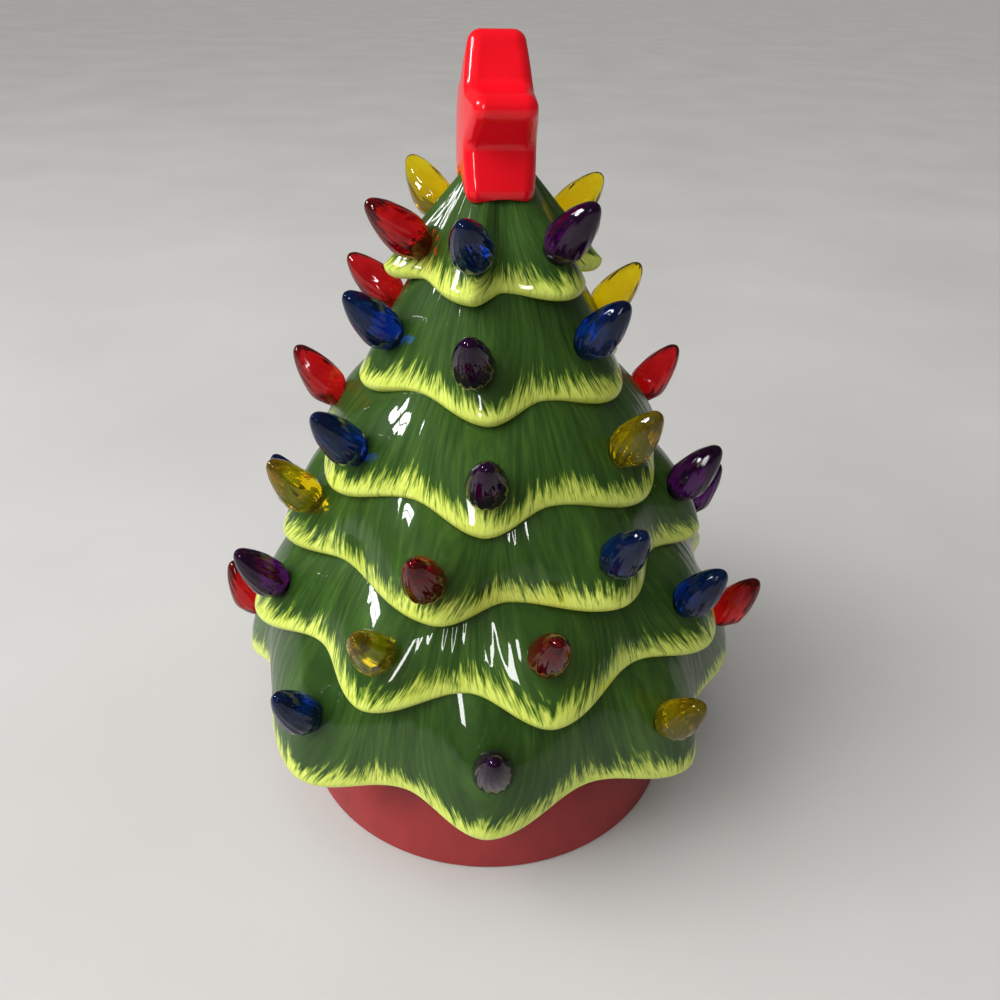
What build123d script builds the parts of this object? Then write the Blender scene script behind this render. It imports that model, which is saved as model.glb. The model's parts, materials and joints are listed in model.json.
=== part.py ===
"""A hollow glazed tree with push-in bulbs, on a battery base that lights it from inside.

Millimetres, +Z up. The origin is the middle of the base, on the table, and the front is -Y.
Angles are in degrees, run round the tree from the front and grow towards +X.
"""

import os
from math import cos, radians, sin

from build123d import *

FULL_TURN = 360
HALF_TURN = 180
SQUARE = 90

# Tree tiers, the top one first, with heights above the tree's foot
TIER_NAMES = ("top", "second", "third", "fourth", "fifth", "bottom")
LIP_RADII = (30.7, 39.7, 53.8, 65.2, 76.4, 83.0)
LIP_HEIGHTS = (135.2, 106.5, 81.4, 60.3, 34.8, 1.6)
NOTCH_DEPTHS = (7.4, 5.0, 5.0, 10.0, 9.4, 8.8)
NOTCH_RISES = (1.8, 4.6, 6.2, 2.4, 6.2, 7.0)
LIP_LEANS = (0.0, 0.0, 0.0, 0.0, 0.0, 1.2)
BULGE_SHARES = (0.0, 0.02, 0.14, 0.18, 0.14, 0.16)
LOBE_ANGLES = (
    (-137, -82, -11, 43, 104, 164),
    (-122, -68, -1, 60, 112, 174),
    (-155, -100, -56, -1, 53, 108, 154),
    (-134, -70, -12, 35, 77, 134, 181),
    (-160, -112, -69, -26, 14.5, 61.5, 109, 154),
    (-178, -132, -90, -42, 1, 48, 91, 136),
)
NOTCH_ANGLES = (
    (-112, -55, 6, 82, 134, 193),
    (-99, -34, 23, 92, 143, 206),
    (-128, -82, -25, 20, 77, 131, 180),
    (-99, -46, 6, 59, 105, 158, 204),
    (-137, -96, -45, -4, 38, 88, 131, 177),
    (-155, -111, -73, -18, 24, 62, 113, 159),
)
LOBE_LIP_ROUND = 3.2
NOTCH_LIP_ROUND = 1.8
LIP_UNDERCUT = 2.0
ROOT_GAP = 0.6
ROOT_FOLLOW_SHARE = 0.25
NOTCH_POWER = 1.8

# Tree top, wall and foot, with heights above the tree's foot
TREE_TOP_RADIUS = 7.5
TREE_HEIGHT = 165.0
WALL = 4.5
CAVITY_TOP_RADIUS = 4.0
TOP_WALL = 9.0
SKIRT_RADIUS = 58.0
SKIRT_HEIGHT = 10.5
FLOOR_WALL = 5.0
CAVITY_FLOOR_RADIUS = 61.0
NECK_RADIUS = 47.0
NECK_WALL = 5.0
STAR_PEG_RADIUS = 3.2
STAR_PEG_LENGTH = 6.0
CUT_RUN = 3.0
RING_STEPS = 96
SLOPE_SHARES = (0.0, 0.25, 0.5, 0.75, 1.0)
INNER_SLOPE_SHARES = (0.15, 0.6)
FIRST_INNER_SHARES = (0.5, 0.8)
LIP_TURNS = (45, SQUARE)

# Bulbs: one near the middle of each lobe
BULB_ANGLES = (
    (-134.5, -66, -11, 41.5, 123, 177),
    (-105.5, -59, -7, 50, 115, 180),
    (-156, -92, -49, -0.5, 48, 112, 156),
    (-146, -63, -14, 33, 72, 146, 180),
    (-160, -104, -63.5, -24, 13.5, 56.5, 107, 154),
    (-178, -132, -89, -40, 2, 42, 83, 134),
)
BULB_TILTS = (
    (43, 42, 41, 48, 41, 42),
    (41, 49, 48, 52, 47, 47),
    (50, 55, 52, 51, 57, 51, 51),
    (55, 56, 54, 56, 58, 55, 55),
    (55, 64, 55, 54, 54, 58, 55, 55),
    (57, 57, 71, 59, 56, 54, 57, 57),
)
BULB_SEAT_SHARES = (
    (0.63, 0.77, 0.72, 0.69, 0.71, 0.7),
    (0.57, 0.6, 0.68, 0.57, 0.66, 0.6),
    (0.64, 0.68, 0.69, 0.7, 0.61, 0.75, 0.64),
    (0.54, 0.51, 0.73, 0.65, 0.51, 0.54, 0.54),
    (0.64, 0.67, 0.63, 0.59, 0.52, 0.6, 0.64, 0.64),
    (0.58, 0.58, 0.64, 0.54, 0.54, 0.58, 0.53, 0.58),
)
BULB_LENGTH = 20.2
BULB_RADIUS = 5.75
BULB_SEAT_RADIUS = 3.2
BULB_STEM_RADIUS = 2.0
BULB_STEM_LENGTH = 8.5
BULB_SINK = 0.9
BULB_HOLE_CLEARANCE = 0.1
BULB_CUP_CLEARANCE = 0.2
BULB_HEIGHT_SHARES = (0.1, 0.27, 0.5, 0.72, 0.88, 0.965)
BULB_WIDTH_SHARES = (0.76, 1.0, 0.92, 0.72, 0.47, 0.26)

# Star
STAR_LIFT = 9.6
STAR_SHARP_RADIUS = 27.2
STAR_WAIST_RADIUS = 12.0
STAR_POINTS = 5
STAR_TIP_ROUND = 3.5
STAR_WAIST_ROUND = 2.5
STAR_MIDDLE_THICKNESS = 19.2
STAR_TIP_THICKNESS = 13.6
STAR_EDGE_ROUND = 3.4
STAR_SWELL_DROP = 6.0
STAR_YAW = 8.5
STAR_SHIFT = 0.8
STAR_SEAT_CLEARANCE = 0.2
STAR_SOCKET_CLEARANCE = 0.1

# Base
FOOT_PROUD = 0.6
BASE_RADIUS = 63.3
BASE_TOP_MARGIN = 1.0
BASE_TOP_HEIGHT = 34.0
BASE_SIDE_BULGE = 3.5
BASE_WALL = 5.8
BASE_RIM_WALL = 3.0
BASE_TOP_WALL = 3.5
BASE_INNER_BULGE = 4.0
BASE_ROOF = 3.0
COLLAR_CLEARANCE = 0.5
COLLAR_WALL = 3.0
COLLAR_HEIGHT = 6.0
BOSS_RADIUS = 4.5
BOSS_HEIGHT = 11.0
BOSS_ANGLES = (45, 135, 225, 315)

# Base plate and battery bay
PLATE_LIFT = 2.0
PLATE_THICKNESS = 3.0
PLATE_CLEARANCE = 0.5
BAY_WALL = 1.6
FOOT_RADIUS = 6.0
FOOT_MARGIN = 3.8
FOOT_POCKET_DEPTH = 1.0
FOOT_POCKET_CLEARANCE = 0.2
FOOT_ANGLES = (0, 90, 180, 270)

# Fasteners
SCREW_RADIUS = 1.4
SCREW_LENGTH = 9.0
SCREW_HEAD_RADIUS = 2.8
SCREW_HEAD_HEIGHT = 1.8
SCREW_HOLE_CLEARANCE = 0.2
SCREW_PILOT_CLEARANCE = 0.05
SCREW_HEAD_CLEARANCE = 0.3
BOARD_SCREW_RADIUS = 1.2
BOARD_SCREW_LENGTH = 5.6
BOARD_SCREW_HEAD_RADIUS = 2.2
BOARD_SCREW_HEAD_HEIGHT = 1.6
PILOT_SPARE = 0.3

# Battery door, hinged at its front edge
DOOR_GAP = 0.3
DOOR_THICKNESS = 2.0
DOOR_KNUCKLE_RADIUS = 1.5
DOOR_PIN_RADIUS = 0.9
DOOR_PIN_LENGTH = 1.2
DOOR_PIN_CLEARANCE = 0.1
DOOR_TONGUE_WIDTH = 12.0
DOOR_TONGUE_HEIGHT = 2.5
DOOR_TONGUE_THICKNESS = 1.2
DOOR_GRIP_WIDTH = 18.0
DOOR_GRIP_LENGTH = 5.0
DOOR_GRIP_DEPTH = 0.8

# Battery cells and contacts
CELL_RADIUS = 7.2
CELL_LENGTH = 50.5
CELL_NUB_RADIUS = 2.75
CELL_NUB_LENGTH = 1.3
CELL_GAP = 0.5
CELL_SIDE_GAP = 0.9
CELL_FLOOR_GAP = 0.6
CELL_ROOF_GAP = 0.6
CONTACT_REACH = 3.5
CONTACT_THICKNESS = 0.5
CONTACT_HEIGHT = 10.0
CONTACT_WIDTH = 9.0
CONTACT_BUTTON_RADIUS = 2.4
TAB_WIDTH = 4.0
TAB_REACH = 4.5
TAB_SLOT_CLEARANCE = 0.2

# Switch: slides along Y, rests at its front end
SWITCH_TRAVEL = 4.0
SWITCH_WALL = 1.5
SWITCH_GAP = 5.2
SWITCH_HEIGHT = 6.0
KNOB_WIDTH = 3.0
KNOB_LENGTH = 4.0
KNOB_DROP = 0.6
KNOB_CLEARANCE = 0.3
SLIDER_SIDE_RIM = 1.0
SLIDER_END_RIM = 1.3
SLIDER_HEIGHT = 2.0
SLIDER_CLEARANCE = 0.2
SWITCH_DISH_DEPTH = 1.0
SWITCH_DISH_MARGIN = 2.5
PIN_SIZE = 1.8
PIN_HEIGHT = 1.5
PIN_SPACING = 7.0

# Lamp board, lamps and leads
BOARD_SIZE = 36.0
BOARD_THICKNESS = 1.6
BOARD_CORNER_ROUND = 2.0
STANDOFF_RADIUS = 3.0
STANDOFF_HEIGHT = 3.0
STANDOFF_INSET = 4.0
LAMP_RADIUS = 2.5
LAMP_HEIGHT = 8.6
LAMP_RIM_RADIUS = 2.9
LAMP_RIM_HEIGHT = 1.0
LAMP_CIRCLE_RADIUS = 11.0
LAMP_ANGLES = (45, 135, 225, 315)
LEAD_RADIUS = 0.6
LEAD_RISE = 3.2
LEAD_BEND_RADIUS = 2.2
LEAD_PAD_INSET = 3.0
SWITCH_LEAD_Y = 5.0

# Sizes and places that follow from the values above
NECK_OPENING_RADIUS = NECK_RADIUS - NECK_WALL
BASE_TOP_RADIUS = NECK_RADIUS + BASE_TOP_MARGIN
BASE_INNER_RADIUS = BASE_RADIUS - BASE_WALL
BASE_INNER_TOP_RADIUS = BASE_TOP_RADIUS - BASE_TOP_WALL
BOSS_CIRCLE_RADIUS = BASE_INNER_RADIUS - BOSS_RADIUS
PLATE_RADIUS = BASE_RADIUS - BASE_RIM_WALL - PLATE_CLEARANCE
FOOT_CIRCLE_RADIUS = PLATE_RADIUS - FOOT_RADIUS - FOOT_MARGIN
CELL_PITCH = 2 * CELL_RADIUS + CELL_GAP
BAY_WIDTH = 2 * (CELL_PITCH + CELL_RADIUS + CELL_SIDE_GAP)
BAY_LENGTH = CELL_LENGTH + 2 * CONTACT_REACH
SLIDER_WIDTH = KNOB_WIDTH + 2 * SLIDER_SIDE_RIM
SLIDER_LENGTH = KNOB_LENGTH + 2 * SLIDER_END_RIM
SWITCH_WIDTH = SLIDER_WIDTH + 2 * (SLIDER_CLEARANCE + SWITCH_WALL)
SWITCH_LENGTH = SLIDER_LENGTH + SWITCH_TRAVEL + 2 * (SLIDER_CLEARANCE + SWITCH_WALL)
SWITCH_X = BAY_WIDTH / 2 + BAY_WALL + SWITCH_GAP + SWITCH_WIDTH / 2
STANDOFF_SPACING = BOARD_SIZE - 2 * STANDOFF_INSET
TREE_FOOT = BASE_TOP_HEIGHT
TREE_TOP = TREE_FOOT + TREE_HEIGHT
CAVITY_TOP = TREE_TOP - TOP_WALL
SKIRT_BOTTOM = TREE_FOOT + SKIRT_HEIGHT
CAVITY_FLOOR = SKIRT_BOTTOM + FLOOR_WALL
PLATE_TOP = PLATE_LIFT + PLATE_THICKNESS
CELL_HEIGHT = PLATE_LIFT + DOOR_THICKNESS + CELL_FLOOR_GAP + CELL_RADIUS
BAY_ROOF = CELL_HEIGHT + CELL_RADIUS + CELL_ROOF_GAP
BAY_TOP = BAY_ROOF + BAY_WALL
BOARD_BOTTOM = BAY_TOP + STANDOFF_HEIGHT
BOARD_TOP = BOARD_BOTTOM + BOARD_THICKNESS
LEAD_TOP = BOARD_TOP + LEAD_RISE
HINGE_Y = -BAY_LENGTH / 2 + DOOR_GAP + DOOR_KNUCKLE_RADIUS
HINGE_Z = PLATE_LIFT + DOOR_KNUCKLE_RADIUS
TAB_Y = BAY_LENGTH / 2 - CONTACT_THICKNESS - TAB_REACH / 2
LEAD_PAD = BOARD_SIZE / 2 - LEAD_PAD_INSET


# Shared helpers
def spot(angle, radius, height):
    """The point at an angle round the tree."""
    return Vector(radius * sin(radians(angle)), -radius * cos(radians(angle)), height)


def rod(radius, bottom, top, x=0, y=0):
    """An upright cylinder between two heights."""
    upright = (Align.CENTER, Align.CENTER, Align.MIN)
    return Pos(x, y, bottom) * Cylinder(radius, top - bottom, align=upright)


def block(width, length, bottom, top, x=0, y=0):
    """An upright box between two heights."""
    upright = (Align.CENTER, Align.CENTER, Align.MIN)
    return Pos(x, y, bottom) * Box(width, length, top - bottom, align=upright)


def around(radius, angles):
    """Points on a circle, as x and y, with angles from +X."""
    return [(radius * cos(radians(angle)), radius * sin(radians(angle))) for angle in angles]


def save(name, solids):
    """Writes one node. A list becomes a group of separate solids."""
    shape = Compound(children=list(solids)) if isinstance(solids, (list, tuple)) else solids
    export_step(shape, f"parts/{name}.step")


# Shape of the tiers
def notch_amount(tier, angle):
    """0 on the middle line of a lobe and 1 in the notch between two lobes."""
    lobes = LOBE_ANGLES[tier]
    for first, notch, second in zip(lobes, NOTCH_ANGLES[tier], lobes[1:] + (lobes[0] + FULL_TURN,)):
        place = (angle - first) % FULL_TURN
        if place < second - first:
            near = min(place / (notch - first), (second - first - place) / (second - notch))
            return sin(radians(SQUARE * near)) ** NOTCH_POWER
    return 0


def lip_round(tier, angle):
    """The lip's radius, which is smaller in the notches."""
    return LOBE_LIP_ROUND + (NOTCH_LIP_ROUND - LOBE_LIP_ROUND) * notch_amount(tier, angle)


def edge_point(tier, angle):
    """Radius and height of the lip's outermost line."""
    notch = notch_amount(tier, angle)
    radius = LIP_RADII[tier] - NOTCH_DEPTHS[tier] * notch
    lean = LIP_LEANS[tier] * sin(radians(angle))
    line = TREE_FOOT + LIP_HEIGHTS[tier] + NOTCH_RISES[tier] * notch + lean
    return radius, line + lip_round(tier, angle)


def lip_point(angle, tier, turn):
    """Radius and height on the rounded lip, from its outermost line (0) to its underside."""
    radius, height = edge_point(tier, angle)
    bend = lip_round(tier, angle)
    return radius - bend + bend * cos(radians(turn)), height - bend * sin(radians(turn))


def root_point(tier, angle):
    """Radius and height where a tier's slope begins, tucked under the lip above it."""
    if tier == 0:
        return TREE_TOP_RADIUS, TREE_TOP
    above = tier - 1
    notch_radius = LIP_RADII[above] - NOTCH_DEPTHS[above] - NOTCH_LIP_ROUND - ROOT_GAP
    follow = ROOT_FOLLOW_SHARE * NOTCH_DEPTHS[above] * (1 - notch_amount(above, angle))
    _, underside = lip_point(angle, above, SQUARE)
    return notch_radius + follow, underside + LIP_UNDERCUT


def slope_point(angle, tier, share):
    """Radius and height on a tier's bulging slope, from its root (0) to its lip (1)."""
    root_radius, root_height = root_point(tier, angle)
    lip_radius, lip_height = edge_point(tier, angle)
    bulge = BULGE_SHARES[tier]
    middle_radius = (root_radius + lip_radius) / 2 + bulge * (root_height - lip_height)
    middle_height = (root_height + lip_height) / 2 + bulge * (lip_radius - root_radius)
    first, second, third = (1 - share) ** 2, 2 * share * (1 - share), share**2
    radius = first * root_radius + second * middle_radius + third * lip_radius
    height = first * root_height + second * middle_height + third * lip_height
    return radius, height


def inner_point(angle, tier, share):
    """The point of the hollow's wall behind a point of the slope."""
    root_radius, root_height = root_point(tier, angle)
    lip_radius, lip_height = edge_point(tier, angle)
    radius, height = slope_point(angle, tier, share)
    across = Vector(root_height - lip_height, lip_radius - root_radius).normalized()
    return radius - WALL * across.X, height - WALL * across.Y


def level_point(angle, radius, height):
    """A point of a level circle, as radius and height."""
    return radius, height


def ring(point_at, *values):
    """A closed ring through the radius and height that point_at gives at each angle."""
    points = []
    for step in range(RING_STEPS):
        angle = FULL_TURN * step / RING_STEPS
        points.append(spot(angle, *point_at(angle, *values)))
    return Wire([Edge.make_spline(points, periodic=True)])


# Tree pieces
def tree_outside():
    """The tree's outer form down to the underside of the lowest lip."""
    rings = []
    for tier in range(len(LIP_RADII)):
        rings += [ring(slope_point, tier, share) for share in SLOPE_SHARES]
        rings += [ring(lip_point, tier, turn) for turn in LIP_TURNS]
    rings.append(ring(level_point, SKIRT_RADIUS, SKIRT_BOTTOM))
    return Solid.make_loft(rings, ruled=True)


def tree_hollow():
    """The hollow inside the tree."""
    rings = [ring(level_point, CAVITY_TOP_RADIUS, CAVITY_TOP)]
    for tier in range(len(LIP_RADII)):
        shares = FIRST_INNER_SHARES if tier == 0 else INNER_SLOPE_SHARES
        rings += [ring(inner_point, tier, share) for share in shares]
    rings.append(ring(level_point, CAVITY_FLOOR_RADIUS, CAVITY_FLOOR))
    return Solid.make_loft(rings, ruled=True)


def bulb_places():
    """The name and the seat plane of every bulb. The plane's Z runs along the bulb."""
    places = []
    for tier, angles in enumerate(BULB_ANGLES):
        rows = zip(angles, BULB_TILTS[tier], BULB_SEAT_SHARES[tier])
        for number, (angle, tilt, share) in enumerate(rows, 1):
            along = spot(angle, cos(radians(tilt)), sin(radians(tilt)))
            seat = spot(angle, *slope_point(angle, tier, share)) - along * BULB_SINK
            plane = Plane(origin=seat, x_dir=spot(angle + SQUARE, 1, 0), z_dir=along)
            places.append((f"{TIER_NAMES[tier]}_tier_bulb_{number}", plane))
    return places


def bulb_form(spare, stem_spare, stem_length):
    """A flame-shaped bulb on its stem, with its seat at the origin, grown by the spare lengths."""
    seat = BULB_SEAT_RADIUS + spare
    flank = [(seat, 0)]
    for width, height in zip(BULB_WIDTH_SHARES, BULB_HEIGHT_SHARES):
        flank.append((BULB_RADIUS * width + spare, BULB_LENGTH * height))
    tip = (0, BULB_LENGTH + spare)
    stem = BULB_STEM_RADIUS + stem_spare
    curve = Spline(*flank, tip)
    lines = Polyline(tip, (0, -stem_length), (stem, -stem_length), (stem, 0), (seat, 0))
    outline = make_face(Plane.XZ * (curve + lines))
    return revolve(outline, Axis.Z)


def tree_shell(places):
    """The ceramic tree: hollow, with a foot ring, a star peg and a seat for each bulb."""
    shell = tree_outside() + rod(NECK_RADIUS, TREE_FOOT, CAVITY_FLOOR)
    shell -= tree_hollow()
    shell -= rod(NECK_OPENING_RADIUS, TREE_FOOT - CUT_RUN, CAVITY_FLOOR + CUT_RUN)
    shell += rod(STAR_PEG_RADIUS, TREE_TOP - CUT_RUN, TREE_TOP + STAR_PEG_LENGTH)
    cutter = bulb_form(BULB_CUP_CLEARANCE, BULB_HOLE_CLEARANCE, BULB_STEM_LENGTH + CUT_RUN)
    return shell - [plane * cutter for _, plane in places]


def star_outline():
    """The flat star with rounded points, one point up."""
    corners = []
    for step in range(2 * STAR_POINTS):
        radius = STAR_SHARP_RADIUS if step % 2 == 0 else STAR_WAIST_RADIUS
        angle = radians(SQUARE + HALF_TURN * step / STAR_POINTS)
        corners.append((radius * cos(angle), radius * sin(angle)))
    face = make_face(Polyline(*corners, close=True))
    by_reach = face.vertices().sort_by(lambda corner: Vector(corner).length)
    waist, tips = by_reach[:STAR_POINTS], by_reach[STAR_POINTS:]
    face = fillet(waist, STAR_WAIST_ROUND)
    tips = face.vertices().group_by(lambda corner: Vector(corner).length)[-1]
    return fillet(tips, STAR_TIP_ROUND)


def star_lens():
    """A lens that is thickest below the star's middle and leaves its points thinner."""
    half, edge = STAR_MIDDLE_THICKNESS / 2, STAR_TIP_THICKNESS / 2
    reach = STAR_SHARP_RADIUS
    dome = (reach**2 + (half - edge) ** 2) / (2 * (half - edge))
    upper = Pos(0, -STAR_SWELL_DROP, half - dome) * Sphere(dome)
    lower = Pos(0, -STAR_SWELL_DROP, dome - half) * Sphere(dome)
    return upper & lower


def star_topper():
    """The thick star, seated on the tree's peg with its legs over the tree's tip."""
    slab = extrude(star_outline(), STAR_MIDDLE_THICKNESS, both=True)
    body = slab & star_lens()
    rims = body.faces().filter_by(GeomType.SPHERE).edges()
    body = fillet(rims, STAR_EDGE_ROUND)
    front = Vector(-cos(radians(STAR_YAW)), -sin(radians(STAR_YAW)), 0)
    centre = (-STAR_SHIFT, 0, TREE_TOP + STAR_LIFT)
    stand = Plane(origin=centre, x_dir=Vector(0, 0, 1).cross(front), z_dir=front)
    body = stand * body
    spare = STAR_SEAT_CLEARANCE
    lip_radius, lip_height = edge_point(0, LOBE_ANGLES[0][0])
    drop = TREE_TOP - lip_height
    cone = Pos(0, 0, lip_height + drop / 2) * Cone(lip_radius + spare, TREE_TOP_RADIUS + spare, drop)
    socket = STAR_PEG_RADIUS + STAR_SOCKET_CLEARANCE
    hole = rod(socket, TREE_TOP - CUT_RUN, TREE_TOP + STAR_PEG_LENGTH + spare)
    return body - cone - hole


# Base pieces
def arc_middle(start, end, bulge):
    """The middle of an arc between two points that bulges outwards."""
    chord = Vector(end) - Vector(start)
    out = Vector(-chord.Y, chord.X).normalized()
    out = out if out.X > 0 else -out
    middle = (Vector(start) + Vector(end)) / 2 + out * bulge
    return middle.X, middle.Y


def base_shell():
    """The turned base: flared side, roof with a locating collar, and screw bosses."""
    recess = PLATE_RADIUS + PLATE_CLEARANCE
    collar = NECK_OPENING_RADIUS - COLLAR_CLEARANCE
    roof = BASE_TOP_HEIGHT - BASE_ROOF
    rim, top = (BASE_RADIUS, FOOT_PROUD), (BASE_TOP_RADIUS, BASE_TOP_HEIGHT)
    ledge, eave = (BASE_INNER_RADIUS, PLATE_TOP), (BASE_INNER_TOP_RADIUS, roof)
    side = ThreePointArc(rim, arc_middle(rim, top, BASE_SIDE_BULGE), top)
    crown = Polyline(
        top,
        (collar, BASE_TOP_HEIGHT),
        (collar, BASE_TOP_HEIGHT + COLLAR_HEIGHT),
        (collar - COLLAR_WALL, BASE_TOP_HEIGHT + COLLAR_HEIGHT),
        (collar - COLLAR_WALL, roof),
        eave,
    )
    inside = ThreePointArc(eave, arc_middle(eave, ledge, BASE_INNER_BULGE), ledge)
    foot = Polyline(ledge, (recess, PLATE_TOP), (recess, FOOT_PROUD), rim)
    body = revolve(make_face(Plane.XZ * (side + crown + inside + foot)), Axis.Z)
    for x, y in around(BOSS_CIRCLE_RADIUS, BOSS_ANGLES):
        body += rod(BOSS_RADIUS, PLATE_TOP, PLATE_TOP + BOSS_HEIGHT, x, y)
    pilot = SCREW_RADIUS + SCREW_PILOT_CLEARANCE
    for x, y in around(BOSS_CIRCLE_RADIUS, BOSS_ANGLES):
        body -= rod(pilot, PLATE_TOP, screw_bottom() + SCREW_LENGTH + SCREW_HEAD_HEIGHT + PILOT_SPARE, x, y)
    return body


def screw_bottom():
    """The height of a plate screw's head, just inside the plate's underside."""
    return PLATE_LIFT + SCREW_HEAD_CLEARANCE


def battery_bay():
    """The bay's walls and roof, open below."""
    width, length = BAY_WIDTH + 2 * BAY_WALL, BAY_LENGTH + 2 * BAY_WALL
    return block(width, length, PLATE_LIFT, BAY_TOP)


def switch_cuts():
    """The knob's slot through the plate and the finger dish under it."""
    slot_width = KNOB_WIDTH + 2 * KNOB_CLEARANCE
    slot_length = KNOB_LENGTH + SWITCH_TRAVEL + 2 * KNOB_CLEARANCE
    slot = block(slot_width, slot_length, PLATE_LIFT, PLATE_TOP, SWITCH_X)
    dish_width = slot_width + 2 * SWITCH_DISH_MARGIN
    dish_length = slot_length + 2 * SWITCH_DISH_MARGIN
    dish = block(dish_width, dish_length, PLATE_LIFT, PLATE_LIFT + SWITCH_DISH_DEPTH, SWITCH_X)
    corners = dish.edges().filter_by(Axis.Z)
    return slot + fillet(corners, SWITCH_DISH_MARGIN)


def base_plate():
    """The plate that closes the base, with the battery bay and the board's standoffs."""
    plate = rod(PLATE_RADIUS, PLATE_LIFT, PLATE_TOP) + battery_bay()
    for x in (-STANDOFF_SPACING / 2, STANDOFF_SPACING / 2):
        plate += rod(STANDOFF_RADIUS, BAY_TOP, BOARD_BOTTOM, x)
        pilot = BOARD_SCREW_RADIUS + SCREW_PILOT_CLEARANCE
        plate -= rod(pilot, BOARD_TOP - BOARD_SCREW_LENGTH - PILOT_SPARE / 2, BOARD_BOTTOM, x)
    plate -= block(BAY_WIDTH, BAY_LENGTH, PLATE_LIFT, BAY_ROOF)
    pin = DOOR_PIN_RADIUS + DOOR_PIN_CLEARANCE
    reach = BAY_WIDTH + 2 * (DOOR_PIN_LENGTH - DOOR_GAP + DOOR_PIN_CLEARANCE)
    plate -= Pos(0, HINGE_Y, HINGE_Z) * Rot(0, SQUARE, 0) * Cylinder(pin, reach)
    for x, end in tab_places():
        slot_width = TAB_WIDTH + 2 * TAB_SLOT_CLEARANCE
        slot_y = end * (BAY_LENGTH - CONTACT_THICKNESS) / 2
        slot_length = CONTACT_THICKNESS + 2 * TAB_SLOT_CLEARANCE
        plate -= block(slot_width, slot_length, BAY_ROOF - CUT_RUN, BAY_TOP, x, slot_y)
    for x, y in around(FOOT_CIRCLE_RADIUS, FOOT_ANGLES):
        pocket = FOOT_RADIUS + FOOT_POCKET_CLEARANCE
        plate -= rod(pocket, PLATE_LIFT, PLATE_LIFT + FOOT_POCKET_DEPTH, x, y)
    for x, y in around(BOSS_CIRCLE_RADIUS, BOSS_ANGLES):
        head_top = screw_bottom() + SCREW_HEAD_HEIGHT
        plate -= rod(SCREW_HEAD_RADIUS + SCREW_HOLE_CLEARANCE, PLATE_LIFT, head_top, x, y)
        plate -= rod(SCREW_RADIUS + SCREW_HOLE_CLEARANCE, head_top, PLATE_TOP, x, y)
    return plate - switch_cuts()


def plate_screws():
    """Four pan-head screws that hold the plate in the base."""
    screws = []
    for x, y in around(BOSS_CIRCLE_RADIUS, BOSS_ANGLES):
        shoulder = screw_bottom() + SCREW_HEAD_HEIGHT
        head = rod(SCREW_HEAD_RADIUS, screw_bottom(), shoulder, x, y)
        screws.append(head + rod(SCREW_RADIUS, shoulder, shoulder + SCREW_LENGTH, x, y))
    return screws


def rubber_feet():
    """Four round feet set in the plate's pockets."""
    top = PLATE_LIFT + FOOT_POCKET_DEPTH
    return [rod(FOOT_RADIUS, 0, top, x, y) for x, y in around(FOOT_CIRCLE_RADIUS, FOOT_ANGLES)]


def battery_door():
    """The door of the bay, with its hinge knuckle and pins, a latch tongue and a finger grip."""
    width = BAY_WIDTH - 2 * DOOR_GAP
    back = BAY_LENGTH / 2 - DOOR_GAP
    top = PLATE_LIFT + DOOR_THICKNESS
    door = block(width, back - HINGE_Y, PLATE_LIFT, top, 0, (back + HINGE_Y) / 2)
    hinge = Pos(0, HINGE_Y, HINGE_Z) * Rot(0, SQUARE, 0)
    door += hinge * Cylinder(DOOR_KNUCKLE_RADIUS, width)
    door += hinge * Cylinder(DOOR_PIN_RADIUS, width + 2 * DOOR_PIN_LENGTH)
    tongue_y = back - DOOR_TONGUE_THICKNESS / 2
    door += block(DOOR_TONGUE_WIDTH, DOOR_TONGUE_THICKNESS, PLATE_LIFT, top + DOOR_TONGUE_HEIGHT, 0, tongue_y)
    grip_y = back - DOOR_GRIP_LENGTH
    grip = block(DOOR_GRIP_WIDTH, DOOR_GRIP_LENGTH, PLATE_LIFT, PLATE_LIFT + DOOR_GRIP_DEPTH, 0, grip_y)
    return door - grip


def battery_cell(x, facing):
    """A cell lying along Y, with its nub towards -Y if facing is 1 and towards +Y if it is -1."""
    can = Cylinder(CELL_RADIUS, CELL_LENGTH - CELL_NUB_LENGTH)
    nub = Pos(0, 0, CELL_LENGTH / 2) * Cylinder(CELL_NUB_RADIUS, CELL_NUB_LENGTH)
    cell = Pos(0, 0, -CELL_NUB_LENGTH / 2) * (can + nub)
    return Pos(x, 0, CELL_HEIGHT) * Rot(facing * SQUARE, 0, 0) * cell


def tab_places():
    """Where the two end strips come up through the bay's roof: x, and which end of the bay."""
    return ((CELL_PITCH, -1), (-CELL_PITCH, 1))


def contact_strip(cell_xs, end):
    """A strip on an end wall of the bay, with a button on each cell that it touches."""
    wall_y = BAY_LENGTH / 2
    middle = sum(cell_xs) / len(cell_xs)
    width = max(cell_xs) - min(cell_xs) + CONTACT_WIDTH
    bottom, top = CELL_HEIGHT - CONTACT_HEIGHT / 2, CELL_HEIGHT + CONTACT_HEIGHT / 2
    strip = block(width, CONTACT_THICKNESS, bottom, top, middle, end * (wall_y - CONTACT_THICKNESS / 2))
    for x in cell_xs:
        place = Pos(x, end * (wall_y - CONTACT_REACH / 2), CELL_HEIGHT) * Rot(SQUARE, 0, 0)
        strip += place * Cylinder(CONTACT_BUTTON_RADIUS, CONTACT_REACH)
    return strip


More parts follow.
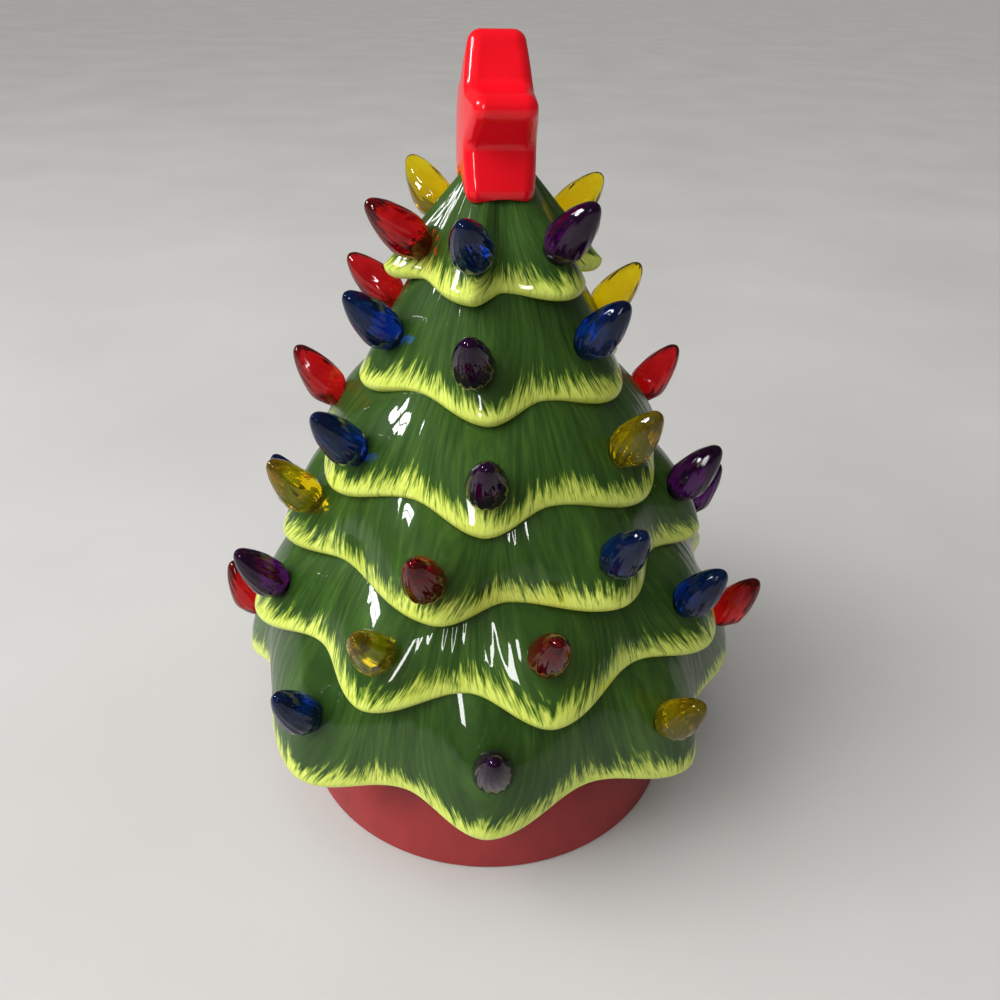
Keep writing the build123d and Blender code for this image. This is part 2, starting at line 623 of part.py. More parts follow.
def end_strip(x, end):
    """A contact strip for one cell, with a tab that goes up through the roof and folds over it."""
    wall_y = BAY_LENGTH / 2
    strip = contact_strip((x,), end)
    riser_y = end * (wall_y - CONTACT_THICKNESS / 2)
    strip += block(TAB_WIDTH, CONTACT_THICKNESS, CELL_HEIGHT, BAY_TOP + CONTACT_THICKNESS, x, riser_y)
    fold_y = end * (wall_y - (CONTACT_THICKNESS + TAB_REACH) / 2)
    fold_length = CONTACT_THICKNESS + TAB_REACH
    return strip + block(TAB_WIDTH, fold_length, BAY_TOP, BAY_TOP + CONTACT_THICKNESS, x, fold_y)


def battery_contacts():
    """Two end strips and two link strips that join the three cells in a row."""
    ends = [end_strip(x, end) for x, end in tab_places()]
    links = [contact_strip((0, CELL_PITCH), 1), contact_strip((-CELL_PITCH, 0), -1)]
    return ends + links


def switch_housing():
    """The switch's box on top of the plate, open below, with two pins for the leads."""
    box = block(SWITCH_WIDTH, SWITCH_LENGTH, PLATE_TOP, PLATE_TOP + SWITCH_HEIGHT, SWITCH_X)
    width = SLIDER_WIDTH + 2 * SLIDER_CLEARANCE
    length = SLIDER_LENGTH + SWITCH_TRAVEL + 2 * SLIDER_CLEARANCE
    room = PLATE_TOP + SLIDER_HEIGHT + 2 * SLIDER_CLEARANCE
    box -= block(width, length, PLATE_TOP, room, SWITCH_X)
    pin_top = PLATE_TOP + SWITCH_HEIGHT + PIN_HEIGHT
    for y in (-PIN_SPACING / 2, PIN_SPACING / 2):
        box += block(PIN_SIZE, PIN_SIZE, PLATE_TOP + SWITCH_HEIGHT, pin_top, SWITCH_X, y)
    return box


def switch_slider():
    """The slider with its knob, at the front end of its travel."""
    y = -SWITCH_TRAVEL / 2
    bottom = PLATE_TOP + SLIDER_CLEARANCE
    slider = block(SLIDER_WIDTH, SLIDER_LENGTH, bottom, bottom + SLIDER_HEIGHT, SWITCH_X, y)
    return slider + block(KNOB_WIDTH, KNOB_LENGTH, PLATE_LIFT - KNOB_DROP, bottom, SWITCH_X, y)


def led_board():
    """The lamp board, with two screw holes."""
    board = block(BOARD_SIZE, BOARD_SIZE, BOARD_BOTTOM, BOARD_TOP)
    board = fillet(board.edges().filter_by(Axis.Z), BOARD_CORNER_ROUND)
    for x in (-STANDOFF_SPACING / 2, STANDOFF_SPACING / 2):
        board -= rod(BOARD_SCREW_RADIUS + SCREW_HOLE_CLEARANCE, BOARD_BOTTOM, BOARD_TOP, x)
    return board


def board_screws():
    """Two screws that hold the board on its standoffs."""
    screws = []
    for x in (-STANDOFF_SPACING / 2, STANDOFF_SPACING / 2):
        head = rod(BOARD_SCREW_HEAD_RADIUS, BOARD_TOP, BOARD_TOP + BOARD_SCREW_HEAD_HEIGHT, x)
        screws.append(head + rod(BOARD_SCREW_RADIUS, BOARD_TOP - BOARD_SCREW_LENGTH, BOARD_TOP, x))
    return screws


def led_lamps():
    """Four round-topped lamps standing on the board."""
    lamps = []
    for x, y in around(LAMP_CIRCLE_RADIUS, LAMP_ANGLES):
        shoulder = BOARD_TOP + LAMP_HEIGHT - LAMP_RADIUS
        lamp = rod(LAMP_RADIUS, BOARD_TOP, shoulder, x, y) + Pos(x, y, shoulder) * Sphere(LAMP_RADIUS)
        lamps.append(lamp + rod(LAMP_RIM_RADIUS, BOARD_TOP, BOARD_TOP + LAMP_RIM_HEIGHT, x, y))
    return lamps


def lead(start, end):
    """A lead that rises from one terminal, crosses over and comes down on another."""
    over_start = (start[0], start[1], LEAD_TOP)
    over_end = (end[0], end[1], LEAD_TOP)
    path = FilletPolyline(start, over_start, over_end, end, radius=LEAD_BEND_RADIUS)
    return sweep(Plane(origin=start, z_dir=(0, 0, 1)) * Circle(LEAD_RADIUS), path=path)


def lead_wires():
    """Three leads: end strip to switch, switch to board, board to the other end strip."""
    (first_x, first_end), (second_x, second_end) = tab_places()
    tab_top = BAY_TOP + CONTACT_THICKNESS
    pin_top = PLATE_TOP + SWITCH_HEIGHT + PIN_HEIGHT
    pins = [(SWITCH_X, y, pin_top) for y in (-PIN_SPACING / 2, PIN_SPACING / 2)]
    return [
        lead((first_x, first_end * TAB_Y, tab_top), pins[0]),
        lead((LEAD_PAD, SWITCH_LEAD_Y, BOARD_TOP), pins[1]),
        lead((second_x, second_end * TAB_Y, tab_top), (second_x, LEAD_PAD, BOARD_TOP)),
    ]


# Writing the nodes
os.makedirs("parts", exist_ok=True)
bulb_seats = bulb_places()
bulb = bulb_form(0, 0, BULB_STEM_LENGTH)
for bulb_name, bulb_plane in bulb_seats:
    save(bulb_name, bulb_plane * bulb)
save("tree_shell", tree_shell(bulb_seats))
save("star_topper", star_topper())
save("base_shell", base_shell())
save("base_plate", base_plate())
save("plate_screws", plate_screws())
save("rubber_feet", rubber_feet())
save("battery_door", battery_door())
save("left_battery_cell", battery_cell(-CELL_PITCH, -1))
save("middle_battery_cell", battery_cell(0, 1))
save("right_battery_cell", battery_cell(CELL_PITCH, -1))
save("battery_contacts", battery_contacts())
save("switch_housing", switch_housing())
save("switch_slider", switch_slider())
save("led_board", led_board())
save("board_screws", board_screws())
save("led_lamps", led_lamps())
save("lead_wires", lead_wires())
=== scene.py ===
import json
from math import pi, radians

import bmesh
import bpy
import numpy as np
from mathutils import Matrix, Vector
from mathutils.kdtree import KDTree


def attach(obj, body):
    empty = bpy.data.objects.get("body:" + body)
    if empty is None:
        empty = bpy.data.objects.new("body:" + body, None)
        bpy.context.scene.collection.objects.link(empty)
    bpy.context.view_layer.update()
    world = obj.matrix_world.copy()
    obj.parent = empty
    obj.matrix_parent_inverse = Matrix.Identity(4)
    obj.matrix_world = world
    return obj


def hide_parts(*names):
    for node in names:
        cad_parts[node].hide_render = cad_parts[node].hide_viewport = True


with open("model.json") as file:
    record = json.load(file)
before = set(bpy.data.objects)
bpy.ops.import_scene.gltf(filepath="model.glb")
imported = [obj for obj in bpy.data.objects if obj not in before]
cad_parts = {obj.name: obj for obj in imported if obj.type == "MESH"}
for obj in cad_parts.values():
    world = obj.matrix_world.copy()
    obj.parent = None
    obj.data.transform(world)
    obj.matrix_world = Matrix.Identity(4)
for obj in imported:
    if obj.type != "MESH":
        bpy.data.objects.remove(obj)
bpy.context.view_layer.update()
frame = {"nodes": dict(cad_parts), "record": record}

# Sizes of the shapes are in millimetres and become metres when a mesh is made. Their angles are
# in degrees, run round the tree from the front (-Y) and grow towards +X.
MM = 0.001
FULL_TURN = 360
SQUARE = 90

# Tree tiers, the top one first, as in the solids
TIER_NAMES = ("top", "second", "third", "fourth", "fifth", "bottom")
LIP_RADII = (30.7, 39.7, 53.8, 65.2, 76.4, 83.0)
LIP_HEIGHTS = (169.2, 140.5, 115.4, 94.3, 68.8, 35.6)
NOTCH_DEPTHS = (7.4, 5.0, 5.0, 10.0, 9.4, 8.8)
NOTCH_RISES = (1.8, 4.6, 6.2, 2.4, 6.2, 7.0)
LIP_LEANS = (0.0, 0.0, 0.0, 0.0, 0.0, 1.2)
BULGE_SHARES = (0.0, 0.02, 0.14, 0.18, 0.14, 0.16)
LOBE_ANGLES = (
    (-137, -82, -11, 43, 104, 164),
    (-122, -68, -1, 60, 112, 174),
    (-155, -100, -56, -1, 53, 108, 154),
    (-134, -70, -12, 35, 77, 134, 181),
    (-160, -112, -69, -26, 14.5, 61.5, 109, 154),
    (-178, -132, -90, -42, 1, 48, 91, 136),
)
NOTCH_ANGLES = (
    (-112, -55, 6, 82, 134, 193),
    (-99, -34, 23, 92, 143, 206),
    (-128, -82, -25, 20, 77, 131, 180),
    (-99, -46, 6, 59, 105, 158, 204),
    (-137, -96, -45, -4, 38, 88, 131, 177),
    (-155, -111, -73, -18, 24, 62, 113, 159),
)
LOBE_LIP_ROUND = 3.2
NOTCH_LIP_ROUND = 1.8
LIP_UNDERCUT = 2.0
ROOT_GAP = 0.6
ROOT_FOLLOW_SHARE = 0.25
NOTCH_POWER = 1.8
WALL = 4.5

# Level rings above and below the tiers, as radius and height
PEG_RINGS = ((3.2, 205.0), (3.2, 199.0))
TREE_TOP = (7.5, 199.0)
FOOT_RINGS = ((58.0, 44.5), (47.0, 44.5), (47.0, 34.0), (42.0, 34.0), (42.0, 49.5), (61.0, 49.5))
CAVITY_TOP = (4.0, 190.0)
INNER_SLOPE_SHARES = (0.6, 0.15)
FIRST_INNER_SHARES = (0.8, 0.5)

# Fineness of the tree's mesh
ANGLE_STEPS = 800
SLOPE_ROWS = 22
LIP_ROWS = 7
UNDER_SHARES = (0.2, 0.8)
SHARP_ANGLE = 50
LEAST_LENGTH = 1e-9

# Brushed relief: grooves that run down the slopes, strong in some patches and faint in others
GROOVE_PITCH = 2.6
GROOVE_RUN = 16.0
GROOVE_DEPTH = 0.32
GROOVE_SEED = 1
FINE_GROOVE_PITCH = 1.3
FINE_GROOVE_RUN = 9.0
FINE_GROOVE_DEPTH = 0.12
FINE_GROOVE_SEED = 11
PATCH_PITCH = 20.0
PATCH_RUN = 24.0
PATCH_SEED = 48
PATCH_START_SHARE = 0.3
PATCH_SPAN_SHARE = 0.4
PATCH_FLOOR_SHARE = 0.3
LIP_SMOOTH_BAND = 4.0
FAN_REACH = 14.0
STROKE_STRETCH = 7.0
TIER_NOISE_STEP = 300.0
NOISE_ROWS = 64
NOISE_FIRST_ROW = 20

# Distances from the lip that keep the lime off the undersides and the hollow
UNDERSIDE = -20.0
INSIDE = -60.0

# Bulbs, as in the solids
BULB_ANGLES = (
    (-134.5, -66, -11, 41.5, 123, 177),
    (-105.5, -59, -7, 50, 115, 180),
    (-156, -92, -49, -0.5, 48, 112, 156),
    (-146, -63, -14, 33, 72, 146, 180),
    (-160, -104, -63.5, -24, 13.5, 56.5, 107, 154),
    (-178, -132, -89, -40, 2, 42, 83, 134),
)
BULB_TILTS = (
    (43, 42, 41, 48, 41, 42),
    (41, 49, 48, 52, 47, 47),
    (50, 55, 52, 51, 57, 51, 51),
    (55, 56, 54, 56, 58, 55, 55),
    (55, 64, 55, 54, 54, 58, 55, 55),
    (57, 57, 71, 59, 56, 54, 57, 57),
)
BULB_SEAT_SHARES = (
    (0.63, 0.77, 0.72, 0.69, 0.71, 0.7),
    (0.57, 0.6, 0.68, 0.57, 0.66, 0.6),
    (0.64, 0.68, 0.69, 0.7, 0.61, 0.75, 0.64),
    (0.54, 0.51, 0.73, 0.65, 0.51, 0.54, 0.54),
    (0.64, 0.67, 0.63, 0.59, 0.52, 0.6, 0.64, 0.64),
    (0.58, 0.58, 0.64, 0.54, 0.54, 0.58, 0.53, 0.58),
)
BULB_LENGTH = 20.2
BULB_RADIUS = 5.75
BULB_SEAT_RADIUS = 3.2
BULB_STEM_RADIUS = 2.0
BULB_STEM_LENGTH = 8.5
BULB_SINK = 0.9
BULB_HOLE_CLEARANCE = 0.1
BULB_CUP_CLEARANCE = 0.2
BULB_HEIGHT_SHARES = (0.1, 0.27, 0.5, 0.72, 0.88, 0.965)
BULB_WIDTH_SHARES = (0.76, 1.0, 0.92, 0.72, 0.47, 0.26)
CUT_RUN = 3.0

# Fineness of the bulbs and their cutters, and the bulbs' flutes
BULB_TURN_STEPS = 72
BULB_ROWS = 30
CUTTER_TURN_STEPS = 40
CUTTER_ROWS = 14
FLUTES = 14
FLUTE_DEPTH = 0.24
FLUTE_TWIST = 55
FLUTE_FADE_POWER = 0.6

# Green and lime glaze: noise scales per millimetre of stroke, bump in metres, colours as stops
BROAD_SCALE = 0.09
STREAK_SCALE = 0.55
HAIR_SCALE = 1.8
GREEN_SHARES = (0.65, 0.35)
STROKE_SHARES = (0.55, 0.45)
STROKE_RANGE = (0.36, 0.66)
BROAD_RANGE = (0.35, 0.65)
LENGTH_RANGE = (0.75, 1.25)
LIME_SOLID = 1.2
LIME_FEATHER = 8.0
LIME_UNDER = (-4.9, -4.1)
THIN_RANGE = (-0.12, 0.06)
THICK_RANGE = (0.0, 0.55)
GLAZE_BUMP = 0.00025
GREENS = ((0.32, (0.018, 0.047, 0.007)), (0.5, (0.031, 0.078, 0.011)), (0.68, (0.056, 0.124, 0.018)))
THIN_LIME = (0.13, 0.22, 0.020, 1.0)
LIMES = ((0.3, (0.55, 0.66, 0.080)), (0.55, (0.65, 0.75, 0.125)), (0.75, (0.74, 0.82, 0.20)))
GLAZE_FINISH = {
    "Roughness": 0.4,
    "Specular IOR Level": 0.05,
    "Coat Weight": 0.6,
    "Coat Roughness": 0.03,
    "Coat IOR": 1.5,
}

# The other materials: noise scales per metre, bumps in metres, colours as a dark and a bright one
SWIRL_SCALE = 160.0
SWIRL_RANGE = (0.35, 0.65)
RIPPLE_SCALE = 420.0
RIPPLE_BUMP = 0.00006
BULB_FINISH = {"Roughness": 0.04, "IOR": 1.41, "Transmission Weight": 0.95}
BULB_DENSITY = 150.0
BULB_COLOURS = {
    "red": ((0.58, 0.010, 0.016), (0.86, 0.030, 0.040)),
    "blue": ((0.004, 0.050, 0.32), (0.012, 0.16, 0.66)),
    "yellow": ((0.88, 0.66, 0.006), (0.98, 0.88, 0.02)),
    "purple": ((0.11, 0.005, 0.14), (0.26, 0.015, 0.33)),
}
MOTTLE_RANGE = (0.3, 0.7)
STAR_POOL_SCALE = 55.0
STAR_WAVE_SCALE = 120.0
STAR_BUMP = 0.0003
STAR_COLOURS = ((0.80, 0.002, 0.010), (0.94, 0.004, 0.016))
STAR_FINISH = {"Roughness": 0.4, "Specular IOR Level": 0.05, "Coat Weight": 0.6, "Coat Roughness": 0.05}
MOTTLE_SCALE = 75.0
GRAIN_SCALE = 900.0
GRAIN_BUMP = 0.00005
ROUGHNESS_SPREAD = 0.06
FLOOR_MOTTLE_SCALE = 6.0
FLOOR_COLOURS = ((0.60, 0.59, 0.57), (0.66, 0.65, 0.63))
FLOOR_FINISH = {"Roughness": 0.6}
STEEL = ((0.45, 0.45, 0.46), (0.60, 0.60, 0.61))
CELL_WRAP = ((0.010, 0.014, 0.022), (0.018, 0.024, 0.034))

# Finish of each node that stays: the material's name, its colours, its roughness and its metal share
NODE_FINISHES = {
    "base_shell": ("satin_red_base", ((0.27, 0.015, 0.017), (0.35, 0.023, 0.023)), 0.5, 0.0),
    "base_plate": ("black_plate", ((0.018, 0.018, 0.018), (0.030, 0.030, 0.030)), 0.6, 0.0),
    "battery_door": ("black_door", ((0.020, 0.020, 0.020), (0.034, 0.034, 0.034)), 0.55, 0.0),
    "rubber_feet": ("foot_rubber", ((0.010, 0.010, 0.010), (0.018, 0.018, 0.018)), 0.8, 0.0),
    "plate_screws": ("screw_steel", STEEL, 0.35, 1.0),
    "board_screws": ("board_screw_steel", STEEL, 0.35, 1.0),
    "left_battery_cell": ("cell_wrap_left", CELL_WRAP, 0.3, 0.0),
    "middle_battery_cell": ("cell_wrap_middle", CELL_WRAP, 0.3, 0.0),
    "right_battery_cell": ("cell_wrap_right", CELL_WRAP, 0.3, 0.0),
    "battery_contacts": ("contact_steel", ((0.55, 0.54, 0.50), (0.70, 0.69, 0.64)), 0.3, 1.0),
    "switch_housing": ("switch_grey", ((0.030, 0.030, 0.032), (0.045, 0.045, 0.047)), 0.5, 0.0),
    "switch_slider": ("knob_white", ((0.62, 0.62, 0.59), (0.72, 0.72, 0.69)), 0.45, 0.0),
    "led_board": ("board_green", ((0.006, 0.045, 0.014), (0.012, 0.075, 0.024)), 0.4, 0.0),
    "led_lamps": ("lamp_clear", ((0.70, 0.70, 0.64), (0.82, 0.82, 0.76)), 0.15, 0.0),
    "lead_wires": ("lead_red", ((0.30, 0.010, 0.010), (0.40, 0.018, 0.016)), 0.4, 0.0),
}

# Sockets of a colour mix: its share, its two colours and its result
MIX_INPUTS = (0, 6, 7)
MIX_OUTPUT = 2

# Camera, found by fitting the view to the photograph: lengths in metres, angles in radians
TREE_HEIGHT = 0.230
CAMERA_PLACE_SHARES = (0.012, -1.0836, 1.0676)
CAMERA_PITCH = 0.5392
CAMERA_ROLL = 0.0249
CAMERA_NEAR = 0.01
SENSOR_WIDTH = 36
FOCAL_SHARE = 0.9129

# Floor and lamps: places and sizes in metres, power in watts
FLOOR_HALF = 30.0
SUN_STRENGTH = 2.1
SUN_DIRECTION = (0.6, 0.5, -1.0)
SKY_STRENGTH = 0.12
SKY_COLOUR = (1.0, 0.98, 0.95, 1.0)
CEILING = ((-1.1, -0.5, 1.1), (1.2, 1.2), 18)
FRONT_PANE = ((-0.32, -0.85, 0.58), (0.075, 0.42), 3.3)
WINDOW_MIDDLE = (-0.81, -0.06, 0.72)
WINDOW_STEPS = (0.12, 0.06)
WINDOW_PANE = ((0.17, 0.085), 2.0)


# Shape of the tiers: radius and height for a whole array of angles
def notch_amount(tier, angles):
    """0 on the middle line of a lobe and 1 in the notch between two lobes."""
    lobes = LOBE_ANGLES[tier]
    places = [*sum(zip(lobes, NOTCH_ANGLES[tier]), ()), lobes[0] + FULL_TURN]
    turned = (np.asarray(angles, float) - lobes[0]) % FULL_TURN + lobes[0]
    near = np.interp(turned, places, np.arange(len(places)) % 2)
    return np.sin(near * pi / 2) ** NOTCH_POWER


def lip_round(tier, angles):
    """The lip's radius, which is smaller in the notches."""
    return LOBE_LIP_ROUND + (NOTCH_LIP_ROUND - LOBE_LIP_ROUND) * notch_amount(tier, angles)


def edge_point(tier, angles):
    """Radius and height of the lip's outermost line."""
    notch = notch_amount(tier, angles)
    radius = LIP_RADII[tier] - NOTCH_DEPTHS[tier] * notch
    lean = LIP_LEANS[tier] * np.sin(np.radians(angles))
    height = LIP_HEIGHTS[tier] + NOTCH_RISES[tier] * notch + lean + lip_round(tier, angles)
    return radius, height


def lip_point(tier, angles, turn):
    """Radius and height on the rounded lip, from its outermost line (0) to its underside."""
    radius, height = edge_point(tier, angles)
    bend = lip_round(tier, angles)
    return radius - bend + bend * np.cos(radians(turn)), height - bend * np.sin(radians(turn))


def root_point(tier, angles):
    """Radius and height where a tier's slope begins, tucked under the lip above it."""
    if tier == 0:
        return level_ring(TREE_TOP, angles)
    above = tier - 1
    notch_radius = LIP_RADII[above] - NOTCH_DEPTHS[above] - NOTCH_LIP_ROUND - ROOT_GAP
    follow = ROOT_FOLLOW_SHARE * NOTCH_DEPTHS[above] * (1 - notch_amount(above, angles))
    underside = lip_point(above, angles, SQUARE)[1]
    return notch_radius + follow, underside + LIP_UNDERCUT


def slope_point(tier, angles, share):
    """Radius and height on a tier's bulging slope, from its root (0) to its lip (1)."""
    root_radius, root_height = root_point(tier, angles)
    lip_radius, lip_height = edge_point(tier, angles)
    bulge = BULGE_SHARES[tier]
    middle_radius = (root_radius + lip_radius) / 2 + bulge * (root_height - lip_height)
    middle_height = (root_height + lip_height) / 2 + bulge * (lip_radius - root_radius)
    first, second, third = (1 - share) ** 2, 2 * share * (1 - share), share**2
    radius = first * root_radius + second * middle_radius + third * lip_radius
    height = first * root_height + second * middle_height + third * lip_height
    return radius, height


def inner_point(tier, angles, share):
    """The point of the hollow's wall behind a point of the slope."""
    root_radius, root_height = root_point(tier, angles)
    lip_radius, lip_height = edge_point(tier, angles)
    radius, height = slope_point(tier, angles, share)
    out, up = root_height - lip_height, lip_radius - root_radius
    length = np.hypot(out, up)
    return radius - WALL * out / length, height - WALL * up / length


def level_ring(place, angles):
    """The radius and height of a level circle, at each angle."""
    return tuple(np.full(np.shape(angles), size, float) for size in place)


def spot(angle, radius, height):
    """The point at an angle round the tree."""
    turn = np.radians(angle)
    return np.stack([radius * np.sin(turn), -radius * np.cos(turn), height], axis=-1)


# Brushed relief
def ring_noise(across, along, cells, seed):
    """Smooth noise between 0 and 1, with a whole number of cells round the tree."""
    table = np.random.default_rng(seed).random((cells, NOISE_ROWS))
    column, row = np.floor(across).astype(int), np.floor(along).astype(int)
    right, down = across - column, along - row
    right, down = right**2 * (3 - 2 * right), down**2 * (3 - 2 * down)
    corners = [table[(column + i) % cells, (row + j) % NOISE_ROWS] for i in (0, 1) for j in (0, 1)]
    near = corners[0] * (1 - down) + corners[1] * down
    far = corners[2] * (1 - down) + corners[3] * down
    return near * (1 - right) + far * right


def grooves(tier, stroke_angle, distance, pitch, run, seed):
    """Brush grooves that run down the slope, between 0 and 1."""
    cells = int(2 * pi * LIP_RADII[tier] / pitch)
    return ring_noise(stroke_angle / FULL_TURN * cells, distance / run + NOISE_FIRST_ROW, cells, seed)


def brush_relief(tier, angles, stroke_angle, distance):
    """Depth of the grooves, which come and go in patches and end at the smooth lip."""
    coarse = grooves(tier, stroke_angle, distance, GROOVE_PITCH, GROOVE_RUN, tier + GROOVE_SEED)
    fine = grooves(tier, stroke_angle, distance, FINE_GROOVE_PITCH, FINE_GROOVE_RUN, tier + FINE_GROOVE_SEED)
    patch = grooves(tier, angles, distance, PATCH_PITCH, PATCH_RUN, tier + PATCH_SEED)
    patch = ((patch - PATCH_START_SHARE) / PATCH_SPAN_SHARE).clip(0, 1)
    strength = PATCH_FLOOR_SHARE + (1 - PATCH_FLOOR_SHARE) * patch
    calm = (distance / LIP_SMOOTH_BAND).clip(0, 1) * strength
    return (GROOVE_DEPTH * coarse + FINE_GROOVE_DEPTH * fine) * calm


# The tree's rows of points, from its peg to the roof of its hollow. Each set of rows has the radius,
# the height, the distance up from the lip, the place among the strokes and the relief of its points.
def tier_rows(tier, angles):
    """One tier's rows, with strokes that fan out square to its lip."""
    points = [slope_point(tier, angles, share) for share in np.linspace(0, 1, SLOPE_ROWS)]
    points += [lip_point(tier, angles, turn) for turn in np.linspace(0, SQUARE, LIP_ROWS)[1:]]
    radius, height = np.array(points).transpose(1, 0, 2)
    steps = np.hypot(np.diff(radius, axis=0), np.diff(height, axis=0))
    along = np.vstack([np.zeros(len(angles)), np.cumsum(steps, axis=0)])
    edge_place = along[SLOPE_ROWS - 1]
    distance = edge_place - along
    arc = np.radians(FULL_TURN / len(angles)) * LIP_RADII[tier]
    lean = -(np.roll(edge_place, -1) - np.roll(edge_place, 1)) / (2 * arc)
    fan = lean * FAN_REACH * np.tanh(distance.clip(0) / FAN_REACH)
    stroke_angle = angles - np.degrees(fan / LIP_RADII[tier])
    stroke = spot(stroke_angle, LIP_RADII[tier], distance / STROKE_STRETCH + TIER_NOISE_STEP * tier)
    return radius, height, distance, stroke, brush_relief(tier, angles, stroke_angle, distance)


def plain_rows(points, tier, angles, distance):
    """Rows with no relief, such as the undersides and the hollow."""
    radius, height = np.array(points).transpose(1, 0, 2)
    distances = np.full(radius.shape, distance)
    stroke = spot(angles + 0 * radius, radius, height + TIER_NOISE_STEP * tier)
    return radius, height, distances, stroke, np.zeros(radius.shape)


def tree_rows(angles):
    """All the rows of the tree, in order."""
    last = len(LIP_RADII) - 1
    rows = [plain_rows([level_ring(place, angles) for place in PEG_RINGS], 0, angles, UNDERSIDE)]
    for tier in range(len(LIP_RADII)):
        rows.append(tier_rows(tier, angles))
        lip = np.array(lip_point(tier, angles, SQUARE))
        following = root_point(tier + 1, angles) if tier < last else level_ring(FOOT_RINGS[0], angles)
        under = [lip + (np.array(following) - lip) * share for share in UNDER_SHARES]
        rows.append(plain_rows(under, tier, angles, UNDERSIDE))
    rows.append(plain_rows([level_ring(place, angles) for place in FOOT_RINGS], last, angles, UNDERSIDE))
    inner = []
    for tier in reversed(range(len(LIP_RADII))):
        shares = FIRST_INNER_SHARES if tier == 0 else INNER_SLOPE_SHARES
        inner += [inner_point(tier, angles, share) for share in shares]
    inner.append(level_ring(CAVITY_TOP, angles))
    rows.append(plain_rows(inner, last, angles, INSIDE))
    return [np.concatenate(part) for part in zip(*rows)]


def row_normals(points):
    """Outward normals of a grid of points whose columns close round the tree."""
    around = np.roll(points, -1, axis=1) - np.roll(points, 1, axis=1)
    down = np.gradient(points, axis=0)
    normals = np.cross(down, around)
    return normals / np.maximum(np.linalg.norm(normals, axis=-1, keepdims=True), LEAST_LENGTH)


# Meshes and objects
def grid_faces(rows, columns, poles):
    """Faces of a closed grid with a pole point before its first row and after its last."""
    row = np.arange(rows - 1)[:, None] * columns
    here = np.arange(columns)[None, :]
    there = (here + 1) % columns
    quads = np.stack([row + here, row + columns + here, row + columns + there, row + there], axis=-1)
    faces = quads.reshape(-1, 4).tolist()
    first, last = poles
    bottom = (rows - 1) * columns
    for column in range(columns):
        following = (column + 1) % columns
        faces.append([first, column, following])
        faces.append([last, bottom + following, bottom + column])
    return faces


def new_mesh(name, points, faces):
    """A mesh from points in millimetres."""
    mesh = bpy.data.meshes.new(name)
    mesh.from_pydata((np.asarray(points) * MM).tolist(), [], faces)
    mesh.update()
    return mesh


def add_object(name, data):
    """An object in the scene."""
    piece = bpy.data.objects.new(name, data)
    bpy.context.scene.collection.objects.link(piece)
    return piece


def smooth_object(name, mesh, material=None):
    """An object with smooth shading and its material, if it has one."""
    if material:
        mesh.materials.append(material)
    mesh.shade_smooth()
    return add_object(name, mesh)


def keep_sharp_edges(mesh):
    """Shades a mesh smooth apart from its sharp edges."""
    mesh.shade_smooth()
    mesh.set_sharp_from_angle(angle=radians(SHARP_ANGLE))


# Bulbs
def bulb_flank(rows, spare):
    """Radius and height up a bulb's flank, on a smooth curve from its seat to its tip."""
    widths = [BULB_SEAT_RADIUS] + [BULB_RADIUS * share for share in BULB_WIDTH_SHARES]
    heights = [0.0] + [BULB_LENGTH * share for share in BULB_HEIGHT_SHARES]
    knots = np.array([*zip(widths, heights), (-spare, BULB_LENGTH)])
    knots[:, 0] += spare
    before = 2 * knots[0] - knots[1]
    mirrored = knots[-2] * (-1, 1)
    knots = np.vstack([before, knots, mirrored])
    places = np.linspace(0, len(knots) - 3, rows)
    start = np.minimum(places.astype(int), len(knots) - 4)
    share = (places - start)[:, None]
    first, second, third, fourth = (knots[start + step] for step in range(4))
    bend = 2 * second + (third - first) * share
    bend += (2 * first - 5 * second + 4 * third - fourth) * share**2
    bend += (3 * second - first - 3 * third + fourth) * share**3
    return bend[:-1] / 2


def lathe(flank, turn_steps, foot, tip, radius_at):
    """Points and faces of a turned form between a foot and a tip on its axis."""
    turns = np.arange(turn_steps) * FULL_TURN / turn_steps
    points = []
    for width, height in flank:
        points.append(spot(turns, radius_at(width, height, turns), np.full(turn_steps, height)))
    count = len(flank) * turn_steps
    points = np.vstack([*points, [[0, 0, foot]], [[0, 0, tip]]])
    faces = grid_faces(len(flank), turn_steps, (count, count + 1))
    return points, [face[::-1] for face in faces]


def fluted(width, height, turns):
    """A bulb's radius round one level: shallow twisted flutes that fade at both ends."""
    share = height / BULB_LENGTH
    fade = np.sin(pi * np.clip(share, 0, 1) ** FLUTE_FADE_POWER)
    wave = np.sin(np.radians(FLUTES / 2 * (turns + FLUTE_TWIST * share))) ** 2
    return width - FLUTE_DEPTH * fade * wave


def plain_round(width, height, turns):
    """The same radius all round, whatever the height."""
    return np.full(len(turns), width)


def stem_rings(spare, length):
    """The stem's rings, from its foot up to the bulb's seat."""
    radius = BULB_STEM_RADIUS + spare
    return [(radius, -length), (radius, 0.0)]


def bulb_piece(name, place, material):
    """One fluted bulb on its stem, in its place."""
    flank = stem_rings(0, BULB_STEM_LENGTH) + bulb_flank(BULB_ROWS, 0).tolist()
    points, faces = lathe(flank, BULB_TURN_STEPS, -BULB_STEM_LENGTH, BULB_LENGTH, fluted)
    mesh = new_mesh(name, points, faces)
    mesh.transform(place)
    piece = smooth_object(name, mesh, material)
    keep_sharp_edges(mesh)
    return piece


